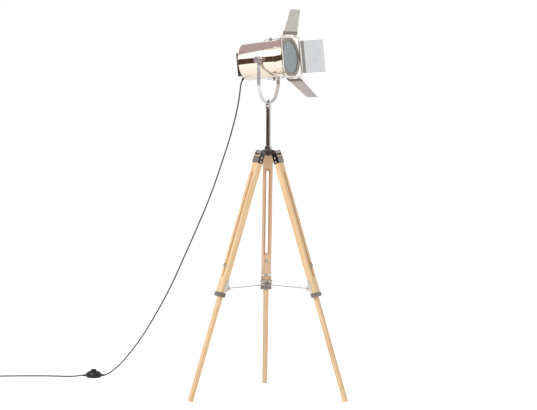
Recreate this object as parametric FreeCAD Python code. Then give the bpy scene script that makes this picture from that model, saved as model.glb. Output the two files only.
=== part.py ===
import FreeCAD, Part
import math
import os

os.makedirs("parts", exist_ok=True)

V = FreeCAD.Vector

# Tripod floor lamp with a drum spotlight.  Millimetres, +Z up, floor at z 0.
# The pole stands on x 0, y 0 here; every piece is moved by ROW_SHIFT_Y when it
# is written, so that the written part is centred over its own footprint.
ROW_SHIFT_Y = -59.1312

# Gaps between pieces that move on each other
RUN_GAP = 0.3
FACE_GAP = 0.3
PIN_RUN = 0.1

# Tripod legs, in the leg's own frame: n outward, t across, s up along the leg
SPLAY = 18.2
FOOT_RADIUS = 316.0
LEG_WIDTH = 36.0
LEG_DEPTH = 20.0
CHANNEL_WIDTH = 20.0
CHANNEL_DEPTH = 13.5
SLOT_WIDTH = 9.0
SLOT_FROM = 464.0
SLOT_TO = 862.0
UPPER_FROM = 394.0
CHANNEL_TO = 875.0
UPPER_TO = 925.0
LOWER_WIDTH = 19.4
LOWER_DEPTH = 13.0
LOWER_TO = 532.0
LOCK_AT = 507.0
LOCK_BOLT_R = 3.0
LOCK_HEAD_R = 6.0
LOCK_NUT_R = 6.5
LOCK_NUT_H = 7.0
COLLAR_FROM = 392.0
COLLAR_HEIGHT = 15.0
COLLAR_WALL = 2.0
EDGE_ROUND = 1.2

# Hinge of the leg on the hub
HINGE_RADIUS = 32.9
HINGE_Z = 893.0
HINGE_PIN_R = 3.0
EAR_R = 9.0
EAR_WALL = 1.5
EAR_FROM = 896.0
BOSS_R = 8.0
BOSS_LENGTH = 35.4
PIN_HEAD_R = 4.6
PIN_HEAD_H = 2.0

# Hub, pole and head socket
HUB_R = 20.5
HUB_BOTTOM = 884.0
HUB_TOP = 904.0
TONGUE_WIDTH = 22.0
TONGUE_TOP = 901.0
POLE_R = 9.0
POLE_WALL = 1.5
POLE_FROM = 889.0
POLE_TO = 1058.0
POLE_COLLAR_R = 14.5
POLE_COLLAR_H = 11.0
SOCKET_FROM = 1052.0
SOCKET_R = 11.0
SOCKET_TOP_R = 10.0

# Spreader
SPREAD_BOLT_S = 428.0
SPREAD_BOLT_N = -10.0
SPREAD_BOLT_R = 2.5
SPREAD_HEAD_R = 4.5
CHEEK_FROM = 407.5
CHEEK_TO = 457.0
CHEEK_WALL = 1.5
BUSH_R = 5.0
ARM_WIDTH = 12.0
ARM_THICK = 2.5
HUB_PIN_RADIUS = 10.0
HUB_PIN_Z = 409.0
HUB_PIN_R = 2.0
EYE_R = 4.5
SPREAD_HUB_R = 14.0

# Yoke
YOKE_HALF = 78.0
YOKE_WIDTH = 13.0
YOKE_THICK = 3.0
YOKE_BOTTOM = 1071.5
YOKE_END_R = 8.0
YOKE_BOLT_R = 3.0
YOKE_NUT_R = 6.5
YOKE_NUT_H = 10.0
PIVOT_Z = 1230.0
PAN = -28.5
TILT = 6.2

# Head, in its own frame: x forward, y to the far side, z up, origin on the tilt axis
BARREL_R = 67.0
BARREL_WALL = 1.5
BARREL_FROM = -90.0
BARREL_TO = 80.0
REAR_THICK = 1.5
BOSS_TILT_R = 8.0
STUD_R = 3.0
STUD_REACH = YOKE_HALF + 15.0
KNOB_R = 13.5
KNOB_H = 17.0
KNOB_NECK = 4.0
RING_FROM = 53.0
RING_FLANGE = 87.0
RING_TO = 90.0
RING_WALL = 2.6
RING_R = BARREL_R + RUN_GAP + RING_WALL
FLANGE_R = RING_R + 3.7
BEZEL_LIP = 8.5
LENS_OPEN_R = BARREL_R - BEZEL_LIP
LENS_THICK = 3.5
FRAME_HALF = FLANGE_R + 1.0
FRAME_STRIP = 6.0
FRAME_FROM = 92.0
FRAME_TO = 95.0
FRAME_CORNER = 6.0
LEAF_HINGE_X = 93.5
LEAF_HINGE_OUT = FRAME_HALF + 3.0
LEAF_KNUCKLE_R = 2.0
LEAF_PIN_R = 0.9
LEAF_SHEET = 1.0
TOP_LEAF = (96.0, 116.0, 82.0, 71.0)
BOTTOM_LEAF = (101.0, 116.0, 85.0, 47.5)
FAR_LEAF = (95.0, 119.0, 119.0, 53.0)
NEAR_LEAF = (95.0, 119.0, 119.0, 62.0)
STRAP_FROM = -11.0
STRAP_WIDTH = 12.0
STRAP_SHEET = 1.5
STRAP_SCREW_X = 16.0
STRAP_SCREW_R = 2.5
WING_HEIGHT = 5.5
GLAND_DROP = 42.0
HOLDER_R = 19.0
HOLDER_FROM = -60.0
HOLDER_TO = -15.0
HOLDER_BORE_R = 13.2
HOLDER_BORE_L = 22.0

# Cord
CORD_R = 2.75
COIL_X = -1120.0
COIL_Y = 470.0
COIL_R = 36.0
COIL_STEP = 3.7
COIL_STEP_CLIMB = 1.5
COIL_HALF_TURNS = 6
COIL_LAYER_GAP = 0.8
COIL_LEAD = 16.5
COIL_END = 26.0
SWITCH_X = -658.0
SWITCH_Y = 462.0
SWITCH_TURN = 5.0
SWITCH_R = 30.0
SWITCH_HEIGHT = 24.0
SWITCH_TOP_R = 14.5
SWITCH_AXIS_Z = 9.0
SLEEVE_LENGTH = 14.0
BUTTON_R = 10.5
BUTTON_RISE = 5.0
BUTTON_DEPTH = 2.7


# ---------- small helpers ----------

def cylinder(radius, start, direction, length):
    return Part.makeCylinder(radius, length, V(*start), V(*direction))


def box(x0, x1, y0, y1, z0, z1):
    return Part.makeBox(x1 - x0, y1 - y0, z1 - z0, V(x0, y0, z0))


def ring(outer, inner, start, direction, length):
    return cylinder(outer, start, direction, length).cut(cylinder(inner, start, direction, length))


def prism(points, direction):
    wire = Part.makePolygon([V(*p) for p in points] + [V(*points[0])])
    return Part.Face(wire).extrude(V(*direction))


def moved(shape, turn_y, shift, turn_z):
    result = shape.copy()
    result.rotate(V(0, 0, 0), V(0, 1, 0), turn_y)
    result.translate(V(*shift))
    result.rotate(V(0, 0, 0), V(0, 0, 1), turn_z)
    return result


def on_leg(shape, azimuth):
    return moved(shape, -SPLAY, (FOOT_RADIUS, 0, 0), azimuth)


def on_hub(shape, azimuth):
    return moved(shape, 0, (0, 0, 0), azimuth)


def on_yoke(shape):
    return moved(shape, 0, (0, 0, 0), PAN)


def head_place(shape):
    result = shape.copy()
    result.rotate(V(0, 0, 0), V(0, 1, 0), -TILT)
    result.rotate(V(0, 0, 0), V(0, 0, 1), PAN)
    result.translate(V(0, 0, PIVOT_Z))
    return result


def save(shape, node):
    result = shape.copy()
    result.translate(V(0, ROW_SHIFT_Y, 0))
    result.exportStep("parts/" + node + ".step")
    print(node, "solids", len(result.Solids), "volume", round(result.Volume, 1), "valid", result.isValid())


def leg_point(n, s):
    # height and distance from the pole axis of a point in the leg's frame
    a = math.radians(SPLAY)
    return FOOT_RADIUS - s * math.sin(a) + n * math.cos(a), s * math.cos(a) + n * math.sin(a)


def hinge_in_leg():
    # the hub hinge in the leg's own n and s
    a = math.radians(SPLAY)
    dr = HINGE_RADIUS - FOOT_RADIUS
    n = dr * math.cos(a) + HINGE_Z * math.sin(a)
    s = -dr * math.sin(a) + HINGE_Z * math.cos(a)
    return n, s


HINGE_N, HINGE_S = hinge_in_leg()


# ---------- legs ----------

def upper_leg():
    # wooden rail with a channel inside, a slot through the web and a solid top
    half = LEG_WIDTH / 2.0
    body = box(0, LEG_DEPTH, -half, half, UPPER_FROM, UPPER_TO)
    outer_edges = [e for e in body.Edges if long_outer_edge(e, LEG_DEPTH)]
    body = body.makeFillet(EDGE_ROUND, outer_edges)
    channel = box(-1, CHANNEL_DEPTH, -CHANNEL_WIDTH / 2.0, CHANNEL_WIDTH / 2.0, UPPER_FROM - 1, CHANNEL_TO)
    return body.cut(channel).cut(slot_cutter())


def long_outer_edge(edge, depth):
    low = edge.BoundBox
    return low.ZLength > 100 and abs(low.Center.x - depth) < 0.01


def slot_cutter():
    r = SLOT_WIDTH / 2.0
    reach = LEG_DEPTH - CHANNEL_DEPTH + 4
    start = CHANNEL_DEPTH - 1
    cut = box(start, start + reach, -r, r, SLOT_FROM + r, SLOT_TO - r)
    for s in (SLOT_FROM + r, SLOT_TO - r):
        cut = cut.fuse(cylinder(r, (start, 0, s), (1, 0, 0), reach))
    return cut


def lower_leg():
    # sliding rail inside the channel; its inner lower edge stands on the floor
    low = -RUN_GAP * math.tan(math.radians(SPLAY))
    half = LOWER_WIDTH / 2.0
    body = box(RUN_GAP, RUN_GAP + LOWER_DEPTH, -half, half, low, LOWER_TO)
    return body.cut(cylinder(LOCK_BOLT_R, (-5, 0, LOCK_AT), (1, 0, 0), 30))


def lock_bolt():
    # round-head bolt from the channel side, out through the slot
    head = cylinder(LOCK_HEAD_R, (RUN_GAP - 2.4, 0, LOCK_AT), (1, 0, 0), 2.4)
    shaft = cylinder(LOCK_BOLT_R, (RUN_GAP, 0, LOCK_AT), (1, 0, 0), LEG_DEPTH + LOCK_NUT_H + 2.5)
    return head.fuse(shaft)


def lock_nut():
    # small round thumb nut with a flange, on the leg's outer face
    start = LEG_DEPTH + FACE_GAP
    body = cylinder(LOCK_NUT_R, (start, 0, LOCK_AT), (1, 0, 0), 2.0)
    grip = cylinder(LOCK_NUT_R - 1.2, (start + 2.0, 0, LOCK_AT), (1, 0, 0), LOCK_NUT_H - 2.0)
    wing = box(start + 2.0, start + LOCK_NUT_H + 1.0, -1.2, 1.2, LOCK_AT - 7.5, LOCK_AT + 7.5)
    bore = cylinder(LOCK_BOLT_R + RUN_GAP, (start - 1, 0, LOCK_AT), (1, 0, 0), LOCK_NUT_H + 4)
    return body.fuse(grip).fuse(wing).cut(bore)


def leg_collar():
    # thin metal band round the lower end of the rail, over the sliding leg
    half = LEG_WIDTH / 2.0
    w = COLLAR_WALL
    top = COLLAR_FROM + COLLAR_HEIGHT
    outer = box(-w, LEG_DEPTH + w, -half - w, half + w, COLLAR_FROM, top)
    return outer.cut(box(0, LEG_DEPTH, -half, half, COLLAR_FROM - 1, top + 1))


def leg_bracket():
    # folded sheet cap: outer plate, two side plates and the hinge ears
    half = LEG_WIDTH / 2.0
    w = EAR_WALL
    out = half + w
    top = UPPER_TO - 4.0
    plate = box(LEG_DEPTH, LEG_DEPTH + w, -out, out, EAR_FROM, top)
    body = plate
    for side in (-1, 1):
        y0 = half if side > 0 else -out
        cheek = box(0, LEG_DEPTH, y0, y0 + w, EAR_FROM, top)
        neck = prism([(0.0, y0, top), (LEG_DEPTH, y0, top), (HINGE_N + EAR_R, y0, HINGE_S),
                      (HINGE_N - EAR_R, y0, HINGE_S)], (0, w, 0))
        ear = cylinder(EAR_R, (HINGE_N, y0, HINGE_S), (0, 1, 0), w)
        body = body.fuse(cheek).fuse(neck).fuse(ear)
    hole = cylinder(HINGE_PIN_R + PIN_RUN, (HINGE_N, -out - 1, HINGE_S), (0, 1, 0), 2 * out + 2)
    return body.cut(hole).removeSplitter()


def leg_screws():
    # two round-head screws through each side plate
    out = LEG_WIDTH / 2.0 + EAR_WALL
    group = []
    for s in (EAR_FROM + 6.0, EAR_FROM + 20.0):
        for side in (-1, 1):
            dome = Part.makeSphere(4.0, V(8.0, side * (out - 2.2), s))
            keep = box(0, 20, out if side > 0 else -out - 4, out + 4 if side > 0 else -out, s - 6, s + 6)
            group.append(dome.common(keep))
    return Part.makeCompound(group)


def spreader_bracket():
    # two cheeks with triangular lugs, a band across the channel and the hinge bolt
    half = LEG_WIDTH / 2.0
    w = CHEEK_WALL
    out = half + w
    body = box(-1.5, 0.0, -out, out, CHEEK_TO - 10.0, CHEEK_TO - 2.0)
    for side in (-1, 1):
        y0 = half if side > 0 else -out
        cheek = prism([(8.0, y0, CHEEK_FROM), (8.0, y0, CHEEK_TO), (-1.5, y0, CHEEK_TO),
                       (-1.5, y0, CHEEK_TO - 14.0), (SPREAD_BOLT_N - 4.0, y0, SPREAD_BOLT_S + 4.0),
                       (SPREAD_BOLT_N - 4.0, y0, SPREAD_BOLT_S - 4.0), (-1.5, y0, CHEEK_FROM + 6.0),
                       (-1.5, y0, CHEEK_FROM)], (0, w, 0))
        tip = cylinder(6.0, (SPREAD_BOLT_N, y0, SPREAD_BOLT_S), (0, 1, 0), w)
        head = cylinder(SPREAD_HEAD_R, (SPREAD_BOLT_N, side * out, SPREAD_BOLT_S), (0, side, 0), 3.5)
        body = body.fuse(cheek).fuse(tip).fuse(head)
    shaft = cylinder(SPREAD_BOLT_R, (SPREAD_BOLT_N, -out, SPREAD_BOLT_S), (0, 1, 0), 2 * out)
    return body.fuse(shaft).removeSplitter()


def spreader_arm(azimuth):
    # flat strip with a cross tube at the leg end and an eye at the hub end
    r1, z1 = leg_point(SPREAD_BOLT_N, SPREAD_BOLT_S)
    reach = math.hypot(r1 - HUB_PIN_RADIUS, z1 - HUB_PIN_Z)
    half = LEG_WIDTH / 2.0 - 0.5
    w = ARM_WIDTH / 2.0
    h = ARM_THICK / 2.0
    strip = box(-reach, 0, -w, w, -h, h)
    bush = cylinder(BUSH_R, (0, -half, 0), (0, 1, 0), 2 * half)
    eye = cylinder(EYE_R, (-reach, -w, 0), (0, 1, 0), 2 * w)
    body = strip.fuse(bush).fuse(eye)
    body = body.cut(cylinder(SPREAD_BOLT_R + RUN_GAP, (0, -half - 1, 0), (0, 1, 0), 2 * half + 2))
    body = body.cut(cylinder(HUB_PIN_R + RUN_GAP, (-reach, -w - 1, 0), (0, 1, 0), 2 * w + 2))
    rise = math.degrees(math.atan2(HUB_PIN_Z - z1, r1 - HUB_PIN_RADIUS))
    return moved(body, rise, (r1, 0, z1), azimuth)


def spreader_hub():
    # round cap with three pairs of ears, their pins and a small knob on top
    z = HUB_PIN_Z
    w = ARM_WIDTH / 2.0 + RUN_GAP
    cap = cylinder(SPREAD_HUB_R, (0, 0, z + EYE_R + 1.0), (0, 0, 1), 2.5)
    knob = cylinder(4.5, (0, 0, z + EYE_R + 3.5), (0, 0, 1), 5.0)
    body = cap.fuse(knob)
    for azimuth in (90, 210, 330):
        for side in (-1, 1):
            y0 = w if side > 0 else -w - 1.8
            ear = box(HUB_PIN_RADIUS - 3.2, HUB_PIN_RADIUS + 3.2, y0, y0 + 1.8, z - 3.2, z + EYE_R + 1.2)
            body = body.fuse(on_hub(ear, azimuth))
        pin = cylinder(HUB_PIN_R, (HUB_PIN_RADIUS, -w - 1.8, z), (0, 1, 0), 2 * w + 3.6)
        body = body.fuse(on_hub(pin, azimuth))
    return body


# ---------- hub and pole ----------

def hub_casting():
    # cast disc with three tongues, each ending in a cross boss for the leg pin
    body = cylinder(HUB_R, (0, 0, HUB_BOTTOM), (0, 0, 1), HUB_TOP - 3.0 - HUB_BOTTOM)
    body = body.fuse(Part.makeCone(HUB_R, HUB_R - 5.0, 3.0, V(0, 0, HUB_TOP - 3.0), V(0, 0, 1)))
    half = TONGUE_WIDTH / 2.0
    long = BOSS_LENGTH / 2.0
    for azimuth in (90, 210, 330):
        tongue = box(0, HINGE_RADIUS, -half, half, HUB_BOTTOM + 1.0, TONGUE_TOP)
        boss = cylinder(BOSS_R, (HINGE_RADIUS, -long, HINGE_Z), (0, 1, 0), 2 * long)
        body = body.fuse(on_hub(tongue, azimuth)).fuse(on_hub(boss, azimuth))
    for azimuth in (90, 210, 330):
        hole = cylinder(HINGE_PIN_R, (HINGE_RADIUS, -long - 1, HINGE_Z), (0, 1, 0), 2 * long + 2)
        body = body.cut(on_hub(hole, azimuth))
    body = body.cut(cylinder(POLE_R, (0, 0, POLE_FROM), (0, 0, 1), 40))
    return body.removeSplitter()


def hub_hinge_pins():
    # one pin with two round heads through each boss and its leg's ears
    out = LEG_WIDTH / 2.0 + EAR_WALL + FACE_GAP
    pins = []
    for azimuth in (90, 210, 330):
        pin = cylinder(HINGE_PIN_R, (HINGE_RADIUS, -out, HINGE_Z), (0, 1, 0), 2 * out)
        for side in (-1, 1):
            head = cylinder(PIN_HEAD_R, (HINGE_RADIUS, side * out, HINGE_Z), (0, side, 0), PIN_HEAD_H)
            pin = pin.fuse(head)
        pins.append(on_hub(pin, azimuth))
    return Part.makeCompound(pins)


def pole():
    return ring(POLE_R, POLE_R - POLE_WALL, (0, 0, POLE_FROM), (0, 0, 1), POLE_TO - POLE_FROM)


def pole_collar():
    # clamping ring on the pole, seated on the hub, with its set screw
    body = cylinder(POLE_COLLAR_R, (0, 0, HUB_TOP), (0, 0, 1), POLE_COLLAR_H)
    body = body.makeChamfer(1.0, body.Edges)
    screw = cylinder(2.4, (0, -POLE_COLLAR_R + 1.0, HUB_TOP + POLE_COLLAR_H / 2.0), (0, -1, 0), 2.2)
    return body.fuse(screw).cut(cylinder(POLE_R, (0, 0, HUB_TOP - 1), (0, 0, 1), POLE_COLLAR_H + 2))


def pole_head_socket():
    # turned end piece on the pole that the yoke stands on
    top = YOKE_BOTTOM - YOKE_THICK / 2.0 - FACE_GAP
    body = cylinder(SOCKET_R, (0, 0, SOCKET_FROM), (0, 0, 1), 8.0)
    cone = Part.makeCone(SOCKET_R, SOCKET_TOP_R, top - SOCKET_FROM - 8.0, V(0, 0, SOCKET_FROM + 8.0), V(0, 0, 1))
    body = body.fuse(cone)
    body = body.cut(cylinder(POLE_R, (0, 0, SOCKET_FROM - 1), (0, 0, 1), POLE_TO - SOCKET_FROM + 1))
    return body.cut(cylinder(YOKE_BOLT_R, (0, 0, SOCKET_FROM), (0, 0, 1), 40))


# ---------- yoke ----------

def yoke():
    # one flat strip bent to a U, with rounded ends at the tilt axis
    centre_z = YOKE_BOTTOM + YOKE_HALF
    w = YOKE_WIDTH / 2.0
    h = YOKE_THICK / 2.0
    hoop = ring(YOKE_HALF + h, YOKE_HALF - h, (-w, 0, centre_z), (1, 0, 0), YOKE_WIDTH)
    hoop = hoop.common(box(-w, w, -200, 200, YOKE_BOTTOM - 20, centre_z))
    body = hoop
    for side in (-1, 1):
        y0 = side * YOKE_HALF - h
        arm = box(-w, w, y0, y0 + YOKE_THICK, centre_z, PIVOT_Z)
        end = cylinder(YOKE_END_R, (0, y0, PIVOT_Z), (0, 1, 0), YOKE_THICK)
        body = body.fuse(arm).fuse(end)
        body = body.cut(cylinder(STUD_R + RUN_GAP, (0, y0 - 1, PIVOT_Z), (0, 1, 0), YOKE_THICK + 2))
    body = body.cut(cylinder(YOKE_BOLT_R + RUN_GAP, (0, 0, YOKE_BOTTOM - 5), (0, 0, 1), 10))
    return on_yoke(body.removeSplitter())


def yoke_bolt():
    # bolt from the socket up through the yoke, with a hexagon nut on top
    start = SOCKET_FROM + 9.0
    inner = YOKE_HALF - YOKE_THICK / 2.0
    washer_r = YOKE_NUT_R + 1.5
    seat = YOKE_BOTTOM + YOKE_THICK / 2.0 + FACE_GAP + inner - math.sqrt(inner ** 2 - washer_r ** 2)
    shaft = cylinder(YOKE_BOLT_R, (0, 0, start), (0, 0, 1), seat + YOKE_NUT_H + 1.5 - start)
    corners = []
    for i in range(6):
        a = math.radians(60 * i + 10)
        corners.append((YOKE_NUT_R * math.cos(a), YOKE_NUT_R * math.sin(a), seat))
    nut = prism(corners, (0, 0, YOKE_NUT_H * 0.6))
    washer = cylinder(washer_r, (0, 0, seat), (0, 0, 1), 1.2)
    return shaft.fuse(nut).fuse(washer)


def tilt_knob(side):
    # round grip knob with a narrow neck, threaded on the stud
    start = YOKE_HALF + YOKE_THICK / 2.0 + FACE_GAP
    neck = cylinder(KNOB_R * 0.6, (0, side * start, 0), (0, side, 0), KNOB_NECK)
    grip = cylinder(KNOB_R, (0, side * (start + KNOB_NECK), 0), (0, side, 0), KNOB_H - KNOB_NECK)
    grip = grip.makeFillet(2.0, grip.Edges)
    bore_length = STUD_REACH - start + 0.5
    bore = cylinder(STUD_R + RUN_GAP, (0, side * (start - 1), 0), (0, side, 0), bore_length + 1)
    body = neck.fuse(grip)
    for i in range(10):
        a = math.radians(36 * i)
        flute = cylinder(1.6, (KNOB_R * math.cos(a), side * start, KNOB_R * math.sin(a)), (0, side, 0), KNOB_H + 4)
        body = body.cut(flute)
    return head_place(body.cut(bore))


# ---------- head ----------

def barrel():
    # drum of thin sheet with the two tilt bosses and studs welded on
    length = BARREL_TO - BARREL_FROM
    shell = ring(BARREL_R, BARREL_R - BARREL_WALL, (BARREL_FROM, 0, 0), (1, 0, 0), length)
    solid = cylinder(BARREL_R - BARREL_WALL / 2.0, (BARREL_FROM, 0, 0), (1, 0, 0), length)
    face = YOKE_HALF - YOKE_THICK / 2.0 - FACE_GAP
    inside = BARREL_R - 12.0
    for side in (-1, 1):
        boss = cylinder(BOSS_TILT_R, (0, side * inside, 0), (0, side, 0), face - inside).cut(solid)
        stud = cylinder(STUD_R, (0, side * (face - 1), 0), (0, side, 0), STUD_REACH - face + 1)
        shell = shell.fuse(boss).fuse(stud)
        hole = cylinder(STRAP_SCREW_R + RUN_GAP, (STRAP_SCREW_X, 0, side * 50), (0, 0, side), 30)
        shell = shell.cut(hole)
    return head_place(shell)


def rear_cover():
    # pressed disc that closes the drum's back, hole for the cable gland
    back = BARREL_FROM - REAR_THICK
    disc = cylinder(BARREL_R, (back, 0, 0), (1, 0, 0), REAR_THICK)
    disc = disc.cut(cylinder(5.0, (back - 1, 0, -GLAND_DROP), (1, 0, 0), REAR_THICK + 2))
    return head_place(disc)


def cable_gland():
    # gland with a nut on the back plate and a tapered sleeve turned down
    back = BARREL_FROM - REAR_THICK
    z = -GLAND_DROP
    stem = cylinder(5.0, (back, 0, z), (1, 0, 0), REAR_THICK + 1.0)
    nut = cylinder(8.0, (back - 5.0, 0, z), (1, 0, 0), 5.0)
    elbow = Part.makeSphere(6.0, V(back - 6.5, 0, z))
    tail = gland_end()
    start = V(back - 6.5, 0, z)
    axis = V(*tail) - start
    boot = Part.makeCone(5.8, CORD_R + 0.9, axis.Length, start, axis)
    body = nut.fuse(stem).fuse(elbow).fuse(boot)
    return head_place(body)


def gland_end():
    # tip of the sleeve in the head's frame
    return (BARREL_FROM - REAR_THICK - 24.0, 0, -GLAND_DROP - 22.0)


def lampholder():
    # open screw holder for the lamp, mouth to the front
    length = HOLDER_TO - HOLDER_FROM
    body = cylinder(HOLDER_R, (HOLDER_FROM, 0, 0), (1, 0, 0), length)
    body = body.fuse(cylinder(HOLDER_R + 2.5, (HOLDER_TO - 8.0, 0, 0), (1, 0, 0), 4.0))
    bore = cylinder(HOLDER_BORE_R, (HOLDER_TO - HOLDER_BORE_L, 0, 0), (1, 0, 0), HOLDER_BORE_L + 1)
    return head_place(body.cut(bore))


def lampholder_bracket():
    # bent strip from the rear cover to the back of the holder
    w = 12.0
    plate = box(HOLDER_FROM - 1.5, HOLDER_FROM, -21.5, 21.5, -w, w)
    body = plate
    for side in (-1, 1):
        y0 = 20.0 if side > 0 else -21.5
        leg = box(BARREL_FROM, HOLDER_FROM, y0, y0 + 1.5, -w, w)
        f0 = 20.0 if side > 0 else -32.0
        foot = box(BARREL_FROM, BARREL_FROM + 1.5, f0, f0 + 12.0, -w, w)
        body = body.fuse(leg).fuse(foot)
    return head_place(body.removeSplitter())


def front_ring():
    # sleeve over the drum's front with a flat bezel flange
    gap = BARREL_R + RUN_GAP
    tube = ring(RING_R, gap, (RING_FROM, 0, 0), (1, 0, 0), RING_FLANGE - RING_FROM)
    flange = ring(FLANGE_R, LENS_OPEN_R, (RING_FLANGE, 0, 0), (1, 0, 0), RING_TO - RING_FLANGE)
    return head_place(tube.fuse(flange))


def lens_glass():
    return head_place(cylinder(BARREL_R, (RING_FLANGE - LENS_THICK, 0, 0), (1, 0, 0), LENS_THICK))


def door_frame():
    # square frame of flat strip that carries the four leaves' hinge knuckles
    depth = FRAME_TO - FRAME_FROM
    outer = box(FRAME_FROM, FRAME_TO, -FRAME_HALF, FRAME_HALF, -FRAME_HALF, FRAME_HALF)
    corners = [e for e in outer.Edges if e.BoundBox.XLength > depth - 0.1]
    outer = outer.makeFillet(FRAME_CORNER, corners)
    inside = FRAME_HALF - FRAME_STRIP
    inner = box(FRAME_FROM - 1, FRAME_TO + 1, -inside, inside, -inside, inside)
    body = outer.cut(inner)
    for turn in (0, 90, 180, 270):
        body = body.fuse(frame_knuckles(turn))
    return head_place(body)


def frame_knuckles(turn):
    # two short hinge tubes on one side of the frame
    group = None
    for y in (-46.0, 46.0):
        tube = ring(LEAF_KNUCKLE_R, LEAF_PIN_R + RUN_GAP, (LEAF_HINGE_X, y - 4, LEAF_HINGE_OUT), (0, 1, 0), 8)
        foot = box(LEAF_HINGE_X - 1.2, LEAF_HINGE_X + 1.2, y - 4, y + 4, FRAME_HALF - 1, LEAF_HINGE_OUT - LEAF_PIN_R - 0.5)
        piece = tube.fuse(foot.cut(cylinder(LEAF_PIN_R + RUN_GAP, (LEAF_HINGE_X, y - 5, LEAF_HINGE_OUT), (0, 1, 0), 10)))
        group = piece if group is None else group.fuse(piece)
    group.rotate(V(0, 0, 0), V(1, 0, 0), turn)
    return group


def leaf(sizes, turn):
    # sheet leaf with its own knuckles and two hinge pins
    length, base, tip, opening = sizes
    h = LEAF_SHEET / 2.0
    start = LEAF_KNUCKLE_R + 1.2
    sheet = prism([(start, -base / 2.0, -h), (length, -tip / 2.0, -h), (length, tip / 2.0, -h),
                   (start, base / 2.0, -h)], (0, 0, LEAF_SHEET))
    body = sheet
    for y in (-46.0, 46.0):
        pin = cylinder(LEAF_PIN_R, (0, y - 10, 0), (0, 1, 0), 20)
        body = body.fuse(pin)
        for side in (-1, 1):
            y0 = y + side * 4.3
            tube = cylinder(LEAF_KNUCKLE_R, (0, y0, 0), (0, side, 0), 6.0)
            low = min(y0, y0 + side * 6.0)
            tab = box(0, start + 1, low, low + 6.0, -h, h)
            body = body.fuse(tube).fuse(tab)
    body.rotate(V(0, 0, 0), V(0, 1, 0), -opening)
    body.translate(V(LEAF_HINGE_X, 0, LEAF_HINGE_OUT))
    body.rotate(V(0, 0, 0), V(1, 0, 0), turn)
    return head_place(body)


def door_straps():
    # two straps along the drum, above and below, that hold the door frame
    low = RING_R + RUN_GAP + 0.2
    high = FRAME_HALF
    t = STRAP_SHEET
    w = STRAP_WIDTH / 2.0
    x1 = RING_FLANGE - 9.0
    x2 = RING_FLANGE - 2.0
    bore = cylinder(STRAP_SCREW_R + RUN_GAP, (STRAP_SCREW_X, 0, 60), (0, 0, 1), 30)
    straps = []
    for turn in (0, 180):
        strap = prism([(STRAP_FROM, -w, low), (x1, -w, low), (x2, -w, high), (FRAME_TO, -w, high),
                       (FRAME_TO, -w, high + t), (x2 - 0.8, -w, high + t), (x1 - 0.8, -w, low + t),
                       (STRAP_FROM, -w, low + t)], (0, 2 * w, 0))
        spacer = cylinder(w - 0.5, (STRAP_SCREW_X, 0, BARREL_R), (0, 0, 1), low - BARREL_R)
        piece = strap.fuse(spacer).cut(bore)
        piece.rotate(V(0, 0, 0), V(1, 0, 0), turn)
        straps.append(head_place(piece))
    return Part.makeCompound(straps)


def strap_screw(turn):
    # wing screw through the strap and the drum wall
    seat = RING_R + RUN_GAP + 0.2 + STRAP_SHEET + FACE_GAP
    shaft = cylinder(STRAP_SCREW_R, (STRAP_SCREW_X, 0, BARREL_R - 4.0), (0, 0, 1), seat + 3.5 - BARREL_R + 4)
    head = cylinder(4.2, (STRAP_SCREW_X, 0, seat), (0, 0, 1), 3.5)
    high = seat + WING_HEIGHT
    wing = prism([(STRAP_SCREW_X - 3.5, -0.9, seat + 1.0), (STRAP_SCREW_X - 7.0, -0.9, high),
                  (STRAP_SCREW_X - 3.0, -0.9, high), (STRAP_SCREW_X, -0.9, seat + 3.5),
                  (STRAP_SCREW_X + 3.0, -0.9, high), (STRAP_SCREW_X + 7.0, -0.9, high),
                  (STRAP_SCREW_X + 3.5, -0.9, seat + 1.0)], (0, 1.8, 0))
    body = shaft.fuse(head).fuse(wing)
    body.rotate(V(0, 0, 0), V(1, 0, 0), turn)
    return head_place(body)


def head_screws():
    # small round heads on the front sleeve, in pairs round the drum
    group = []
    for x in (RING_FROM + 8.0, RING_FROM + 25.0):
        for turn in (55, 125, 235, 305):
            dome = Part.makeSphere(3.2, V(x, 0, RING_R - 1.4))
            dome = dome.cut(cylinder(RING_R, (x - 10, 0, 0), (1, 0, 0), 20))
            dome.rotate(V(0, 0, 0), V(1, 0, 0), turn)
            group.append(head_place(dome))
    return Part.makeCompound(group)


# ---------- cord ----------

def head_point(x, y, z):
    a = math.radians(PAN)
    e = math.radians(TILT)
    fx = x * math.cos(e) - z * math.sin(e)
    fz = x * math.sin(e) + z * math.cos(e)
    return (fx * math.cos(a) - y * math.sin(a), fx * math.sin(a) + y * math.cos(a), fz + PIVOT_Z)


def cord_wire(points):
    # straight runs joined by tangent arcs; returns the wire and the least bend radius
    pts = [V(*p) for p in points]
    edges = []
    last = pts[0]
    least = 1e9
    for i in range(1, len(pts) - 1):
        a = pts[i] - pts[i - 1]
        b = pts[i + 1] - pts[i]
        turn = a.getAngle(b)
        cut = 0.45 * min(a.Length, b.Length)
        radius = cut / math.tan(turn / 2.0)
        least = min(least, radius)
        a.normalize()
        b.normalize()
        start = pts[i] - a * cut
        end = pts[i] + b * cut
        to_middle = b - a
        to_middle.normalize()
        middle = pts[i] + to_middle * (radius / math.cos(turn / 2.0) - radius)
        edges.append(Part.LineSegment(last, start).toShape())
        edges.append(Part.Arc(start, middle, end).toShape())
        last = end
    edges.append(Part.LineSegment(last, pts[-1]).toShape())
    return Part.Wire(edges), least


def cord_piece(points, name):
    wire, least = cord_wire(points)
    first = V(*points[0])
    direction = V(*points[1]) - first
    profile = Part.Wire([Part.makeCircle(CORD_R, first, direction)])
    tube = wire.makePipeShell([profile], True, False)
    expected = math.pi * CORD_R ** 2 * wire.Length
    print(name, "length", round(wire.Length, 1), "least bend radius", round(least, 1),
          "volume / expected", round(tube.Volume / expected, 4))
    return tube


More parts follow.
